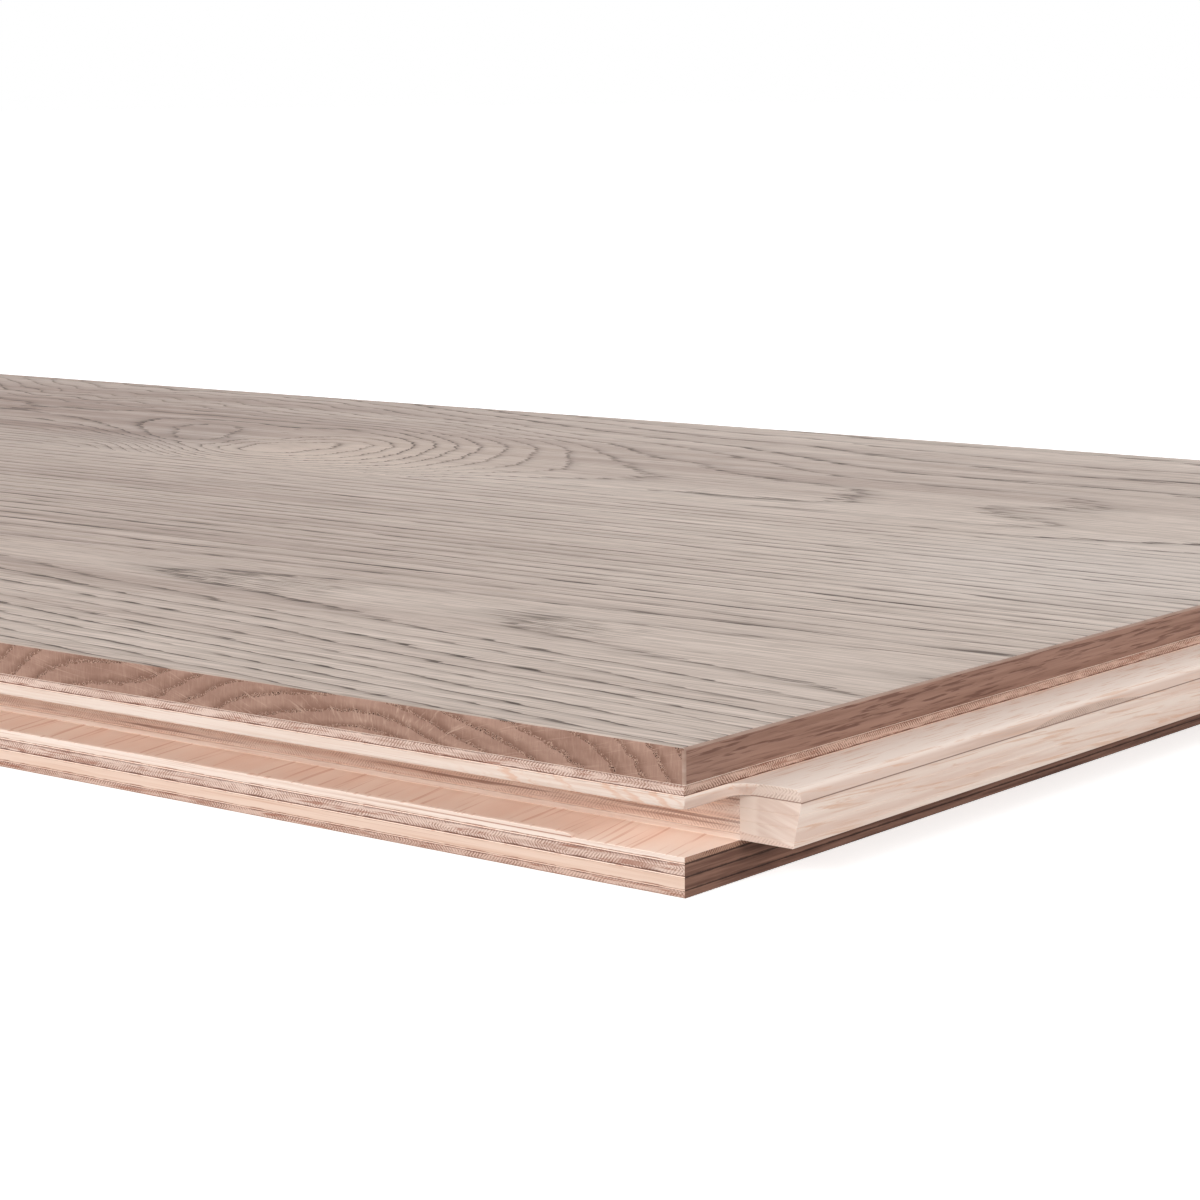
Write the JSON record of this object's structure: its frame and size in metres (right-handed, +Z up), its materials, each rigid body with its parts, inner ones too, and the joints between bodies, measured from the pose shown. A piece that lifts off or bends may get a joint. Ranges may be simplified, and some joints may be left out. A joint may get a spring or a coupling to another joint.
{
  "type": "engineered hardwood floorboard",
  "caption": "Long flat floorboard with a grey-washed oak face on a plywood core, milled with a tongue and groove along its sides and ends.",
  "frame": {"origin": "middle of the back, halfway along and across the face, with the tongues left out", "axes": "+X along the length to the end with the tongue, +Y across the width to the side with the tongue, +Z up through the oak face"},
  "size_m": [2.2075, 0.2475, 0.015],
  "materials": {
    "oak": "matte grey-washed oil",
    "cross_ply": "raw milled veneer",
    "long_ply": "raw milled veneer"
  },
  "bodies": {
    "root": {"oak_face": "oak", "core_ply_1": "cross_ply", "core_ply_2": "long_ply", "core_ply_3": "cross_ply", "core_ply_4": "long_ply", "core_ply_5": "cross_ply", "core_ply_6": "long_ply", "core_ply_7": "cross_ply", "core_ply_8": "long_ply", "core_ply_9": "cross_ply"}
  },
  "joints": []
}
